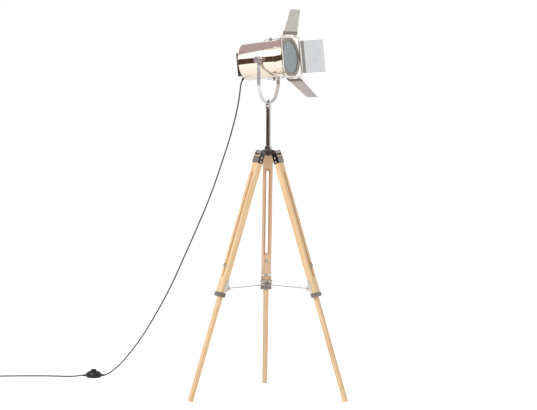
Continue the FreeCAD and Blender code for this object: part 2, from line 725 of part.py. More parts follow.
# route of the hanging cord, from the head down to the switch
HANG = [(-103.2, 57.4, 1111.0), (-106.6, 60.6, 1083.0), (-112.2, 65.6, 1050.0),
        (-121.6, 73.9, 1008.0), (-134.0, 84.6, 958.7), (-148.4, 97.0, 910.0), (-164.0, 110.6, 861.0),
        (-182.3, 126.0, 803.5), (-202.6, 143.0, 744.0), (-223.9, 161.2, 687.5), (-247.4, 181.3, 630.0),
        (-272.8, 203.0, 569.7), (-298.0, 224.3, 511.0), (-322.9, 245.5, 452.6), (-347.9, 266.7, 395.0),
        (-373.9, 288.9, 341.0), (-401.0, 312.0, 288.5), (-430.9, 337.5, 234.5), (-461.0, 363.2, 183.0),
        (-488.5, 386.4, 141.0), (-516.0, 408.0, 103.0), (-543.0, 427.5, 68.0), (-567.0, 443.0, 43.0),
        (-588.0, 455.0, 25.5), (-601.5, 461.5, 16.0)]
SPLIT = 6


def between(a, b):
    return ((a[0] + b[0]) / 2.0, (a[1] + b[1]) / 2.0, (a[2] + b[2]) / 2.0)


def relief_points():
    # from the gland's sleeve to the top of the hanging run
    tip = head_point(*gland_end())
    return [tip, (-99.4, 53.8, 1143.4), (-101.2, 55.4, 1129.0)]


def on_switch(shape):
    result = shape.copy()
    result.rotate(V(0, 0, 0), V(0, 0, 1), SWITCH_TURN)
    result.translate(V(SWITCH_X, SWITCH_Y, 0))
    return result


def switch_point(x, z):
    a = math.radians(SWITCH_TURN)
    return (SWITCH_X + x * math.cos(a), SWITCH_Y + x * math.sin(a), z)


def switch_housing():
    # round domed foot switch with a well for its button and short tapered sleeves at both ends
    rim = 9.0
    foot = SWITCH_R - 2.0
    points = [(0, 0), (foot, 0), (SWITCH_R, 2.0), (SWITCH_R, rim)]
    edges = [Part.LineSegment(V(a[0], 0, a[1]), V(b[0], 0, b[1])).toShape() for a, b in zip(points, points[1:])]
    shoulder = V(SWITCH_R - 4.2, 0, rim + 9.0)
    crown = V(SWITCH_TOP_R, 0, SWITCH_HEIGHT)
    edges.append(Part.Arc(V(SWITCH_R, 0, rim), shoulder, crown).toShape())
    edges.append(Part.LineSegment(crown, V(0, 0, SWITCH_HEIGHT)).toShape())
    edges.append(Part.LineSegment(V(0, 0, SWITCH_HEIGHT), V(0, 0, 0)).toShape())
    body = Part.Face(Part.Wire(edges)).revolve(V(0, 0, 0), V(0, 0, 1), 360)
    for side in (-1, 1):
        start = side * (SWITCH_R - 4.0)
        sleeve = Part.makeCone(6.5, CORD_R + 0.8, SLEEVE_LENGTH + 4.0, V(start, 0, SWITCH_AXIS_Z), V(side, 0, 0))
        body = body.fuse(sleeve)
    well = cylinder(BUTTON_R + 0.3, (0, 0, SWITCH_HEIGHT - BUTTON_DEPTH - 2.3), (0, 0, 1), 10)
    return on_switch(body.cut(well))


def switch_button():
    body = cylinder(BUTTON_R, (0, 0, SWITCH_HEIGHT - BUTTON_DEPTH), (0, 0, 1), BUTTON_DEPTH + BUTTON_RISE)
    body = body.makeFillet(1.5, [e for e in body.Edges if e.BoundBox.ZMin > SWITCH_HEIGHT + 1])
    return on_switch(body)


def sleeve_end(side):
    return side * (SWITCH_R + SLEEVE_LENGTH)


def tail_points():
    # from the switch across the floor to the start of the coil
    z = CORD_R
    return [switch_point(sleeve_end(-1), SWITCH_AXIS_Z), switch_point(sleeve_end(-1) - 15.0, 7.2),
            (-738.0, 460.5, z + 1.6), (-771.0, 470.0, z + 0.5), (-815.0, 480.5, z + 0.2), (-870.0, 485.0, z + 0.1),
            (-935.0, 482.5, z + 0.2), (-995.0, 478.0, z + 0.1), (-1044.0, 472.5, z + 0.2), (-1080.0, COIL_Y, z),
            (COIL_X + COIL_LEAD, COIL_Y, z)]


def coil_wire():
    # loops that spiral in on the floor, climb, and spiral out again on top
    start = V(COIL_X + COIL_LEAD, COIL_Y, CORD_R)
    here = V(COIL_X, COIL_Y, CORD_R)
    edges = [Part.LineSegment(start, here).toShape()]
    heading = V(-1, 0, 0)
    radius = COIL_R
    middle = COIL_HALF_TURNS // 2
    for i in range(COIL_HALF_TURNS):
        if i == middle:
            here, heading = add_climb(edges, here, heading, radius)
            radius += 2 * COIL_STEP
            continue
        here, heading = add_half(edges, here, heading, radius)
        if i == middle - 1:
            radius -= COIL_STEP_CLIMB
        elif i < middle:
            radius -= COIL_STEP
        else:
            radius += COIL_STEP
    edges.append(Part.LineSegment(here, here + heading * COIL_END).toShape())
    return Part.Wire(edges), here, heading


def add_half(edges, here, heading, radius):
    # one flat half turn to the left
    left = V(-heading.y, heading.x, 0)
    centre = here + left * radius
    edges.append(Part.Arc(here, centre + heading * radius, centre + left * radius).toShape())
    return centre + left * radius, heading * -1


def add_climb(edges, here, heading, radius):
    # one half turn to the left that climbs a layer with level ends
    left = V(-heading.y, heading.x, 0)
    centre = here + left * radius
    rise = 2 * CORD_R + COIL_LAYER_GAP
    points = []
    for i in range(13):
        share = i / 12.0
        a = math.pi * share
        lift = rise * share * share * (3 - 2 * share)
        points.append(centre - left * (radius * math.cos(a)) + heading * (radius * math.sin(a)) + V(0, 0, lift))
    curve = Part.BSplineCurve()
    curve.interpolate(points, InitialTangent=heading, FinalTangent=heading * -1)
    edges.append(curve.toShape())
    return points[-1], heading * -1


def cord_coil():
    wire, end, heading = coil_wire()
    first = V(COIL_X + COIL_LEAD, COIL_Y, CORD_R)
    profile = Part.Wire([Part.makeCircle(CORD_R, first, V(-1, 0, 0))])
    tube = wire.makePipeShell([profile], True, False)
    expected = math.pi * CORD_R ** 2 * wire.Length
    print("coil length", round(wire.Length, 1), "volume / expected", round(tube.Volume / expected, 4),
          "least gap to itself", round(coil_gap(wire), 2))
    return tube, end, heading


def coil_gap(wire):
    # least distance between the tube and itself, from points along its line
    points = wire.discretize(Distance=2.0)
    least = 1e9
    for i in range(len(points)):
        for j in range(i + 12, len(points)):
            least = min(least, points[i].distanceToPoint(points[j]))
    return least - 2 * CORD_R


def plug(end, heading):
    # moulded two-pin mains plug lying beside the coil, tapered sleeve on the cord
    sleeve = Part.makeCone(CORD_R + 0.8, 5.5, 26.0, V(0, 0, 0), V(1, 0, 0))
    body = box(26, 58, -17, 17, -8.5, 8.5)
    body = body.makeFillet(4.0, body.Edges).fuse(sleeve)
    for y in (-9.5, 9.5):
        body = body.fuse(cylinder(2.4, (55, y, 0), (1, 0, 0), 22.0))
    body.rotate(V(0, 0, 0), V(0, 0, 1), math.degrees(math.atan2(heading.y, heading.x)))
    body.translate(end)
    return body


# ---------- write every piece ----------

LEGS = (("back", 90), ("left", 210), ("right", 330))

save(hub_casting(), "hub_casting")
save(hub_hinge_pins(), "hub_hinge_pins")
save(pole(), "pole")
save(pole_collar(), "pole_collar")
save(pole_head_socket(), "pole_head_socket")

for name, azimuth in LEGS:
    save(on_leg(leg_bracket(), azimuth), "bracket_" + name)
    save(on_leg(leg_screws(), azimuth), "leg_screws_" + name)
    save(on_leg(upper_leg(), azimuth), "upper_leg_" + name)
    save(on_leg(leg_collar(), azimuth), "leg_collar_" + name)
    save(on_leg(spreader_bracket(), azimuth), "spreader_bracket_" + name)
    save(on_leg(lower_leg(), azimuth), "lower_leg_" + name)
    save(on_leg(lock_bolt(), azimuth), "lock_bolt_" + name)
    save(on_leg(lock_nut(), azimuth), "lock_nut_" + name)
    save(spreader_arm(azimuth), "spreader_arm_" + name)

save(spreader_hub(), "spreader_hub")
save(yoke(), "yoke")
save(yoke_bolt(), "yoke_bolt")
save(tilt_knob(-1), "tilt_knob_near")
save(tilt_knob(1), "tilt_knob_far")
save(barrel(), "barrel")
save(rear_cover(), "rear_cover")
save(cable_gland(), "cable_gland")
save(lampholder(), "lampholder")
save(lampholder_bracket(), "lampholder_bracket")
save(front_ring(), "front_ring")
save(lens_glass(), "lens_glass")
save(door_frame(), "door_frame")
save(door_straps(), "door_straps")
save(strap_screw(0), "strap_screw_top")
save(strap_screw(180), "strap_screw_bottom")
save(leaf(TOP_LEAF, 0), "leaf_top")
save(leaf(BOTTOM_LEAF, 180), "leaf_bottom")
save(leaf(FAR_LEAF, -90), "leaf_far")
save(leaf(NEAR_LEAF, 90), "leaf_near")
save(head_screws(), "head_screws")

middle_point = between(HANG[SPLIT - 1], HANG[SPLIT])
top_route = relief_points() + HANG[:SPLIT] + [middle_point]
low_route = [middle_point] + HANG[SPLIT:] + [switch_point(sleeve_end(1), SWITCH_AXIS_Z)]
save(cord_piece(top_route, "cord_top").cut(cable_gland()), "cord_top")
save(cord_piece(low_route, "cord_main").cut(switch_housing()), "cord_main")
save(switch_housing(), "switch_housing")
save(switch_button(), "switch_button")
save(cord_piece(tail_points(), "cord_tail").cut(switch_housing()), "cord_tail")
coil, coil_end, coil_heading = cord_coil()
save(coil, "cord_coil")
save(plug(coil_end + coil_heading * COIL_END, coil_heading), "plug")
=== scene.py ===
import math

import bmesh
import bpy
from mathutils import Matrix, Vector


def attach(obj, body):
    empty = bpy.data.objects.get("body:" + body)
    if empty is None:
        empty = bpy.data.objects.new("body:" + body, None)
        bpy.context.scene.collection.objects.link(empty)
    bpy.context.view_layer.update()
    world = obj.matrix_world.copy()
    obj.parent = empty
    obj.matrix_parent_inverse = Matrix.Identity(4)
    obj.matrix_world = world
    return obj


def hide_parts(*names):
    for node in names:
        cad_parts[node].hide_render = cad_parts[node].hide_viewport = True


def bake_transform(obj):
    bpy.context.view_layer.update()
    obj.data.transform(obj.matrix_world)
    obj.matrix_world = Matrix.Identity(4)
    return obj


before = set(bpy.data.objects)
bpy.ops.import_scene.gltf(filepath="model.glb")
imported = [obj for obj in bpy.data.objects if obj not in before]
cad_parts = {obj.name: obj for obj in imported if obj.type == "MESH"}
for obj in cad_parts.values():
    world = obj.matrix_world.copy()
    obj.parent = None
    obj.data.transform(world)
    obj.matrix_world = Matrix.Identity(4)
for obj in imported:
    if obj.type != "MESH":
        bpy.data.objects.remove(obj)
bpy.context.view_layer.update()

# ---------- Camera ----------
# The photograph looks at the lamp from far off and a little above the drum, with a long lens.
# The pole leans by a fraction of a degree in the picture, which the camera's roll gives.
pole_y = -0.0591312
picture_width_px, focal_px, sensor_mm = 537.0, 2251.0, 36.0
camera_place = Vector((-0.2093, -8.1923 + pole_y, 1.232))
camera_pitch = math.radians(3.71)
camera_roll = math.radians(0.32)
across = Vector((0.99967, -0.02583, 0.0))
level = Vector((0.02583, 0.99967, 0.0))
ahead = level * math.cos(camera_pitch) - Vector((0, 0, math.sin(camera_pitch)))
upward = across.cross(ahead)
rolled_across = across * math.cos(camera_roll) + upward * math.sin(camera_roll)
rolled_up = upward * math.cos(camera_roll) - across * math.sin(camera_roll)
photo_camera = bpy.data.objects.new("photo_camera", bpy.data.cameras.new("photo_camera"))
bpy.context.collection.objects.link(photo_camera)
photo_camera.data.sensor_width = sensor_mm
photo_camera.data.lens = sensor_mm * focal_px / picture_width_px
photo_camera.data.clip_end = 100.0
photo_camera.matrix_world = Matrix((
    (rolled_across.x, rolled_up.x, -ahead.x, camera_place.x),
    (rolled_across.y, rolled_up.y, -ahead.y, camera_place.y),
    (rolled_across.z, rolled_up.z, -ahead.z, camera_place.z),
    (0, 0, 0, 1)))
bpy.context.scene.camera = photo_camera
bpy.context.scene.view_settings.view_transform = "Standard"


# ---------- Cord from the drum to the floor switch ----------
# A round two-core mains cord, extruded in dark grey PVC, leaves the drum's gland, hangs in one
# easy curve and reaches the round foot switch on the floor behind the left leg.
def linear(hex_colour):
    channels = [int(hex_colour[i:i + 2], 16) / 255.0 for i in (1, 3, 5)]
    return [c / 12.92 if c <= 0.04045 else ((c + 0.055) / 1.055) ** 2.4 for c in channels] + [1.0]


def add_node(tree, kind, settings=None, links=None):
    node = tree.nodes.new(kind)
    for key, value in (settings or {}).items():
        if isinstance(key, str) and hasattr(node, key):
            setattr(node, key, value)
        else:
            node.inputs[key].default_value = value
    for key, source in (links or {}).items():
        tree.links.new(source, node.inputs[key])
    return node


def new_finish(name):
    finish = bpy.data.materials.new(name)
    finish.use_nodes = True
    tree = finish.node_tree
    tree.nodes.clear()
    shader = add_node(tree, "ShaderNodeBsdfPrincipled")
    add_node(tree, "ShaderNodeOutputMaterial", links={"Surface": shader.outputs[0]})
    return finish, tree, shader


def mottled_finish(name, dark, light, low, high, cloud, relief, relief_mm):
    # two tones and a spread of roughness follow one noise, cloud, and a fine relief another;
    # each noise is (scale, detail)
    finish, tree, shader = new_finish(name)
    place = add_node(tree, "ShaderNodeTexCoord").outputs["Object"]
    clouded = add_node(tree, "ShaderNodeTexNoise", {"Scale": cloud[0], "Detail": cloud[1]},
                       {"Vector": place}).outputs[0]
    tones = add_node(tree, "ShaderNodeMix", {"data_type": "RGBA", 6: linear(dark),
                                             7: linear(light)}, {0: clouded})
    tree.links.new(tones.outputs[2], shader.inputs["Base Color"])
    spread = add_node(tree, "ShaderNodeMapRange", {"To Min": low, "To Max": high},
                      {"Value": clouded})
    tree.links.new(spread.outputs[0], shader.inputs["Roughness"])
    if relief_mm:
        height = add_node(tree, "ShaderNodeTexNoise", {"Scale": relief[0], "Detail": relief[1]},
                          {"Vector": place})
        bump = add_node(tree, "ShaderNodeBump",
                        {"Strength": 1.0, "Distance": relief_mm / 1000.0},
                        {"Height": height.outputs[0]})
        tree.links.new(bump.outputs[0], shader.inputs["Normal"])
    return finish, shader


def pvc_finish(name, dark, light, low=0.38, high=0.52):
    # PVC: smooth extruded or moulded skin with a faint orange peel, 1.5 mm across
    finish, shader = mottled_finish(name, dark, light, low, high, (18.0, 3.0), (650.0, 2.0), 0.05)
    shader.inputs["IOR"].default_value = 1.52
    return finish


cord_pvc = pvc_finish("dark_pvc_cord", "#3C3C3D", "#565656")
cord_radius = 0.00275

# millimetres, with y counted from the pole
drop_route = [
    (-94.8, 51.5, 1153.9), (-99.4, 53.8, 1143.4), (-101.2, 55.4, 1129.0), (-103.2, 57.4, 1111.0),
    (-106.6, 60.6, 1083.0), (-112.2, 65.6, 1050.0), (-121.6, 73.9, 1008.0), (-134.0, 84.6, 958.7),
    (-148.4, 97.0, 910.0), (-164.0, 110.6, 861.0), (-182.3, 126.0, 803.5), (-202.6, 143.0, 744.0),
    (-223.9, 161.2, 687.5), (-247.4, 181.3, 630.0), (-272.8, 203.0, 569.7), (-298.0, 224.3, 511.0),
    (-322.9, 245.5, 452.6), (-347.9, 266.7, 395.0), (-373.9, 288.9, 341.0), (-401.0, 312.0, 288.5),
    (-430.9, 337.5, 234.5), (-461.0, 363.2, 183.0), (-488.5, 386.4, 141.0), (-516.0, 408.0, 103.0),
    (-543.0, 427.5, 68.0), (-567.0, 443.0, 43.0), (-588.0, 455.0, 25.5), (-601.5, 461.5, 16.0),
    (-614.17, 465.83, 9.0)]


def route_metres(route):
    return [Vector((x / 1000.0, y / 1000.0 + pole_y, z / 1000.0)) for x, y, z in route]


def nurbs_cord(name, points, radius):
    line = bpy.data.curves.new(name, "CURVE")
    line.dimensions = "3D"
    line.resolution_u = 6
    line.bevel_depth = radius
    line.bevel_resolution = 5
    line.use_fill_caps = True
    spline = line.splines.new("NURBS")
    spline.points.add(len(points) - 1)
    for control, point in zip(spline.points, points):
        control.co = (point.x, point.y, point.z, 1.0)
    spline.order_u = 3
    spline.use_endpoint_u = True
    cord = bpy.data.objects.new(name, line)
    bpy.context.collection.objects.link(cord)
    return cord


def line_of(cord):
    # the cord's own line, read from its spline with no thickness
    depth = cord.data.bevel_depth
    cord.data.bevel_depth = 0.0
    bpy.context.view_layer.update()
    thin = bpy.data.meshes.new_from_object(cord)
    points = [v.co.copy() for v in thin.vertices]
    bpy.data.meshes.remove(thin)
    cord.data.bevel_depth = depth
    bpy.context.view_layer.update()
    return points


drop_points = route_metres(drop_route)
drop_curve = nurbs_cord("drop_line", drop_points, cord_radius)
drop_path = line_of(drop_curve)
drop_mesh = bpy.data.meshes.new_from_object(drop_curve)
bpy.data.objects.remove(drop_curve)
drop_cord = bpy.data.objects.new("drop_cord", drop_mesh)
bpy.context.collection.objects.link(drop_cord)
drop_mesh.materials.clear()
drop_mesh.materials.append(cord_pvc)
for face in drop_mesh.polygons:
    face.use_smooth = True
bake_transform(drop_cord)
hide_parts("cord_top", "cord_main")


# ---------- Cord from the floor switch to the plug ----------
# The same cord goes on along the floor past the picture's edge, and what is left of it lies there
# in three loops, two deep, with the plug beside them.
tail_route = [
    (-701.83, 458.17, 9.0), (-716.77, 456.86, 7.2), (-738.0, 460.5, 4.35), (-771.0, 470.0, 3.25),
    (-815.0, 480.5, 2.95), (-870.0, 485.0, 2.85), (-935.0, 482.5, 2.95), (-995.0, 478.0, 2.85),
    (-1044.0, 472.5, 2.95), (-1080.0, 470.0, 2.75), (-1103.5, 470.0, 2.75)]
tail_points = route_metres(tail_route)


def coil_points():
    # half turns, each with its own radius; one of them climbs on to the loops below it
    here = Vector((-1.120, 0.470 + pole_y, cord_radius))
    heading = Vector((-1, 0, 0))
    radii = [0.036, 0.0323, 0.0286, 0.0271, 0.0345, 0.0382]
    climbing, layer, steps = 3, 0.0063, 8
    end_run = 0.013
    points = []
    lift = 0.0
    for turn, radius in enumerate(radii):
        left = Vector((-heading.y, heading.x, 0))
        centre = here + left * radius
        for k in range(steps):
            angle = math.pi * k / steps
            share = k / steps
            rise = layer * share * share * (3 - 2 * share) if turn == climbing else 0.0
            offset = heading * (radius * math.sin(angle)) - left * (radius * math.cos(angle))
            points.append(centre + offset + Vector((0, 0, lift + rise)))
        here = centre + left * radius
        if turn == climbing:
            lift += layer
        heading = -heading
    for k in range(3):
        points.append(here + heading * (end_run * k) + Vector((0, 0, lift)))
    return points


floor_cord = nurbs_cord("floor_cord", tail_points + coil_points(), cord_radius)
floor_cord.data.materials.append(cord_pvc)
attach(floor_cord, "yoke_set")
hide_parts("cord_tail", "cord_coil")


# ---------- Drum ----------
# The lamp's body is a drum of thin steel sheet, rolled, seam-welded and nickel plated to a warm
# mirror. Both rims are turned in, and a boss on each side carries the stud it tilts on.
pan = math.radians(-28.5)
tilt = math.radians(6.2)
tilt_axis_height = 1.230
yoke_frame = Matrix.Translation((0, pole_y, 0)) @ Matrix.Rotation(pan, 4, "Z")
head_frame = (Matrix.Translation((0, pole_y, tilt_axis_height)) @ Matrix.Rotation(pan, 4, "Z")
              @ Matrix.Rotation(-tilt, 4, "Y"))


def polished_finish(name, dark, light, low, high, bump_mm=0.02, metallic=1.0):
    # nickel or chrome plate: mirror bright, with hairline polishing haze and soft sheet waviness
    haze, wave = (35.0, 5.0), (14.0, 1.0)
    finish, shader = mottled_finish(name, dark, light, low, high, haze, wave, bump_mm)
    shader.inputs["Metallic"].default_value = metallic
    return finish


def turned(profile, axis, steps):
    # a turned or rolled shape about an axis: profile points are (along the axis, radius)
    mesh = bmesh.new()
    ring = []
    for along, radius in profile:
        at = {"X": (along, 0, radius), "Y": (radius, along, 0), "Z": (radius, 0, along)}[axis]
        ring.append(mesh.verts.new(at))
    edges = [mesh.edges.new(pair) for pair in zip(ring, ring[1:])]
    bmesh.ops.spin(mesh, geom=ring + edges, cent=(0, 0, 0), axis=[axis == a for a in "XYZ"],
                   angle=math.tau, steps=steps, use_merge=True, use_duplicate=False)
    bmesh.ops.remove_doubles(mesh, verts=mesh.verts, dist=1e-6)
    bmesh.ops.recalc_face_normals(mesh, faces=mesh.faces)
    return mesh


def finished(name, mesh, place, finish):
    bmesh.ops.transform(mesh, matrix=place, verts=mesh.verts)
    data = bpy.data.meshes.new(name)
    mesh.to_mesh(data)
    mesh.free()
    for face in data.polygons:
        face.use_smooth = True
    data.set_sharp_from_angle(angle=math.radians(32))
    piece = bpy.data.objects.new(name, data)
    bpy.context.collection.objects.link(piece)
    data.materials.append(finish)
    return piece


def spun(name, profile, place, finish, steps, axis="X"):
    return finished(name, turned(profile, axis, steps), place, finish)


def add_cylinder(mesh, radius, length, middle, axis, segments, top_radius=None):
    turn = Vector((0, 0, 1)).rotation_difference(Vector(axis)).to_matrix().to_4x4()
    bmesh.ops.create_cone(mesh, cap_ends=True, segments=segments, radius1=radius,
                          radius2=radius if top_radius is None else top_radius, depth=length,
                          matrix=Matrix.Translation(middle) @ turn)


def sharp_edges(mesh):
    return [e for e in mesh.edges if len(e.link_faces) == 2 and e.calc_face_angle(0) > 1.0]


def ease(mesh, edges, width, steps):
    bmesh.ops.bevel(mesh, geom=edges, offset=width, segments=steps, profile=0.5, affect="EDGES",
                    material=-1)


warm_nickel = polished_finish("polished_warm_nickel", "#E7D8C9", "#F1E5D8", 0.04, 0.09, 0.05)
drum_shell = spun("drum_shell", [
    (-0.0900, 0.0655), (-0.0900, 0.0664), (-0.0896, 0.0669), (-0.0890, 0.0670), (0.0790, 0.0670),
    (0.0800, 0.0667), (0.0800, 0.0655), (-0.0900, 0.0655)], head_frame, warm_nickel, 160)
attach(drum_shell, "head")

boss_radius, boss_length, boss_middle = 0.008, 0.0112, 0.0706
stud_radius, stud_length, stud_middle = 0.003, 0.0168, 0.0846
bosses = bmesh.new()
for side in (-1, 1):
    add_cylinder(bosses, boss_radius, boss_length, (0, side * boss_middle, 0), (0, side, 0), 40)
    add_cylinder(bosses, stud_radius, stud_length, (0, side * stud_middle, 0), (0, side, 0), 24)
ease(bosses, sharp_edges(bosses), 0.0004, 2)
tilt_bosses = finished("tilt_bosses", bosses, head_frame, warm_nickel)
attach(tilt_bosses, "head")
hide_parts("barrel")
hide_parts("barrel")


# ---------- Rear cover ----------
# A pressed steel disc closes the drum's back, its edge turned over the drum's rim. The wiring sits
# in a square folded sheet box on it, whose near edge shows as a thin dark line beyond the drum.
rear_disc = spun("rear_disc", [
    (-0.0900, 0.0650), (-0.0900, 0.0666), (-0.0905, 0.0670), (-0.0911, 0.0670), (-0.0915, 0.0666),
    (-0.0915, 0.0600), (-0.0913, 0.0585), (-0.0909, 0.0578), (-0.0906, 0.0570), (-0.0906, 0.0)],
    head_frame, warm_nickel, 160)
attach(rear_disc, "head")
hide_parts("rear_cover")


def add_block(mesh, size, middle):
    block = bmesh.ops.create_cube(mesh, size=1.0, matrix=Matrix.Translation(middle)
                                  @ Matrix.Diagonal((*size, 1)))
    return block["verts"]


wiring = bmesh.new()
add_block(wiring, (0.0182, 0.086, 0.085), (-0.1004, 0, -0.0085))
behind_cover = -0.105
folds = [e for e in wiring.edges if min(v.co.x for v in e.verts) < behind_cover]
ease(wiring, folds, 0.0025, 4)
box_steel = polished_finish("grey_box_steel", "#5A534C", "#736C64", 0.20, 0.32)
wiring_box = finished("wiring_box", wiring, head_frame, box_steel)
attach(wiring_box, "head")
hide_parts("rear_cover")


# ---------- Front ring and glass ----------
# A second sheet sleeve slips over the drum's front and ends in a flat bezel, duller than the drum,
# which holds a disc of frosted glass from the front. The sleeve's back edge is rolled to a bead.
front_ring = spun("front_sleeve", [
    (0.0535, 0.0673), (0.0530, 0.0678), (0.0527, 0.0690), (0.0531, 0.0699), (0.0540, 0.0702),
    (0.0550, 0.0698), (0.0862, 0.0698), (0.0868, 0.0704), (0.0870, 0.0728), (0.0874, 0.0734),
    (0.0894, 0.0735), (0.0900, 0.0730), (0.0900, 0.0592), (0.0897, 0.0586), (0.0892, 0.0585),
    (0.0870, 0.0585), (0.0870, 0.0673), (0.0535, 0.0673)], head_frame, warm_nickel, 160)
bezel_nickel = polished_finish("bezel_grey_nickel", "#8B8177", "#A0968B", 0.16, 0.28)
front_ring.data.materials.append(bezel_nickel)
bezel_from = 0.0872
to_head = head_frame.inverted()
for face in front_ring.data.polygons:
    if (to_head @ face.center).x > bezel_from:
        face.material_index = 1
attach(front_ring, "head")
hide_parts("front_ring")


def frosted_glass():
    # soda-lime glass, sand-blasted on the inside: a pale grey-green veil that hides what is behind
    veil, grit = (9.0, 2.0), (900.0, 2.0)
    finish, shader = mottled_finish("frosted_soda_lime_glass", "#95A2A6", "#A9B6B8", 0.30, 0.42,
                                    veil, grit, 0.03)
    shader.inputs["IOR"].default_value = 1.5
    return finish


glass_disc = spun("glass_disc", [
    (0.0835, 0.0), (0.0835, 0.0664), (0.0838, 0.0668), (0.0864, 0.0668), (0.0868, 0.0664),
    (0.0870, 0.0640), (0.0870, 0.0)], head_frame, frosted_glass(), 128)
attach(glass_disc, "head")
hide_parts("lens_glass")


# ---------- Yoke ----------
# A flat steel strip, bent to a U and chrome plated, with full round ends at the tilt axis. Its long
# edges are tumbled soft before plating.
yoke_chrome = polished_finish("tumbled_chrome_strip", "#D2D0D2", "#E2E0E1", 0.16, 0.26, 0.02, 0.6)


def strip_end(side, inside, thick):
    # the round end of one arm, with the hole for the tilt stud
    end_radius, hole_radius, count = 0.008, 0.0033, 48
    disc = bmesh.new()
    rings = [[disc.verts.new((radius * math.cos(math.tau * k / count), side * inside,
                              tilt_axis_height + radius * math.sin(math.tau * k / count)))
              for k in range(count)] for radius in (end_radius, hole_radius)]
    edges = [disc.edges.new((ring[k], ring[(k + 1) % count])) for ring in rings
             for k in range(count)]
    bmesh.ops.bridge_loops(disc, edges=edges)
    flat = bmesh.ops.extrude_face_region(disc, geom=list(disc.faces))
    pushed = [g for g in flat["geom"] if isinstance(g, bmesh.types.BMVert)]
    bmesh.ops.translate(disc, verts=pushed, vec=(0, side * thick, 0))
    bmesh.ops.recalc_face_normals(disc, faces=disc.faces)
    ease(disc, sharp_edges(disc), 0.0004, 2)
    end = bpy.data.meshes.new("yoke_end")
    disc.to_mesh(end)
    disc.free()
    return end


def build_yoke():
    half, width, thick = 0.078, 0.013, 0.003
    inside, outside = half - thick / 2, half + thick / 2
    centre = 1.0715 + half
    arm_length = tilt_axis_height - 0.0045 - centre
    mesh = bmesh.new()
    corners = [(-width / 2, inside), (width / 2, inside), (width / 2, outside),
               (-width / 2, outside)]
    section = [mesh.verts.new((x, y, centre)) for x, y in corners]
    loop = [mesh.edges.new((section[i], section[(i + 1) % 4])) for i in range(4)]
    bmesh.ops.spin(mesh, geom=section + loop, cent=(0, 0, centre), axis=(1, 0, 0),
                   angle=-math.pi, steps=64, use_duplicate=False)
    bmesh.ops.remove_doubles(mesh, verts=mesh.verts, dist=1e-6)

    def open_end(side):
        return [e for e in mesh.edges if e.is_boundary and all(v.co.y * side > 0 for v in e.verts)]

    for side in (-1, 1):
        grown = bmesh.ops.extrude_edge_only(mesh, edges=open_end(side))
        new_verts = [g for g in grown["geom"] if isinstance(g, bmesh.types.BMVert)]
        bmesh.ops.translate(mesh, verts=new_verts, vec=(0, 0, arm_length))
        bmesh.ops.holes_fill(mesh, edges=open_end(side), sides=4)
    bmesh.ops.recalc_face_normals(mesh, faces=mesh.faces)
    ease(mesh, sharp_edges(mesh), 0.0005, 3)
    for side in (-1, 1):
        end = strip_end(side, inside, thick)
        mesh.from_mesh(end)
        bpy.data.meshes.remove(end)
    return finished("yoke_strip", mesh, yoke_frame, yoke_chrome)


yoke_strip = build_yoke()
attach(yoke_strip, "yoke_set")
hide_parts("yoke")


# ---------- Pole, its collar and head socket ----------
# The centre pole is a chromed steel tube. A turned collar with a set screw clamps it on the hub,
# and a turned end piece on top is what the yoke stands on.
bright_chrome = polished_finish("bright_chrome_plate", "#C9C6C4", "#DAD7D5", 0.06, 0.14)
pole_place = Matrix.Translation((0, pole_y, 0))
pole_tube = spun("pole_tube", [
    (0.889, 0.0075), (0.889, 0.0088), (0.8893, 0.0090), (1.0577, 0.0090), (1.058, 0.0088),
    (1.058, 0.0075), (0.889, 0.0075)], pole_place, bright_chrome, 64, "Z")
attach(pole_tube, "stand")
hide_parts("pole")

head_socket = spun("head_socket", [
    (1.052, 0.0091), (1.052, 0.0104), (1.0526, 0.0110), (1.0594, 0.0110), (1.0600, 0.0108),
    (1.0690, 0.0101), (1.0697, 0.0095), (1.0697, 0.0031)], pole_place, bright_chrome, 64, "Z")
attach(head_socket, "stand")
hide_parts("pole_head_socket")

collar = turned([
    (0.904, 0.0091), (0.904, 0.0135), (0.9046, 0.0144), (0.9075, 0.0145), (0.9080, 0.0139),
    (0.9112, 0.0139), (0.9117, 0.0145), (0.9144, 0.0144), (0.915, 0.0135), (0.915, 0.0091)],
    "Z", 72)
set_screw_radius, set_screw_length = 0.0024, 0.0028
add_cylinder(collar, set_screw_radius, set_screw_length, (0, -0.0147, 0.9095), (0, -1, 0), 6)
pole_clamp = finished("pole_clamp", collar, pole_place, bright_chrome)
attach(pole_clamp, "stand")
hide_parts("pole_collar")


# ---------- Tilt knobs ----------
# Two turned and fluted brass knobs, with a satin plate, clamp the yoke to the drum's studs. Each is
# closed at its outer end.
knob_plate = polished_finish("satin_knob_plate", "#A79C9D", "#BAB0B0", 0.28, 0.40, 0.02, 0.7)
knob_start = 0.0798
knob_profile = [
    (0.0139, 0.0), (0.0139, 0.0034), (0.0, 0.0034), (0.0, 0.0076), (0.0005, 0.0081),
    (0.0038, 0.0081), (0.0042, 0.0086), (0.0046, 0.0118), (0.0058, 0.0131), (0.0070, 0.0135),
    (0.0140, 0.0135), (0.0156, 0.0130), (0.0167, 0.0116), (0.0170, 0.0095), (0.0167, 0.0060),
    (0.0167, 0.0)]
flutes, flute_depth, grip_from = 10, 0.0008, 0.0125
for label, side in (("near", -1), ("far", 1)):
    grip = turned([(side * (knob_start + along), radius) for along, radius in knob_profile],
                  "Y", 80)
    for vert in grip.verts:
        radius = math.hypot(vert.co.x, vert.co.z)
        if radius > grip_from:
            angle = math.atan2(vert.co.z, vert.co.x)
            dip = flute_depth * (0.5 - 0.5 * math.cos(flutes * angle)) ** 3
            vert.co.x *= (radius - dip) / radius
            vert.co.z *= (radius - dip) / radius
    knob = finished("grip_knob_" + label, grip, head_frame, knob_plate)
    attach(knob, "knob_" + label)
    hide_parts("tilt_knob_" + label)


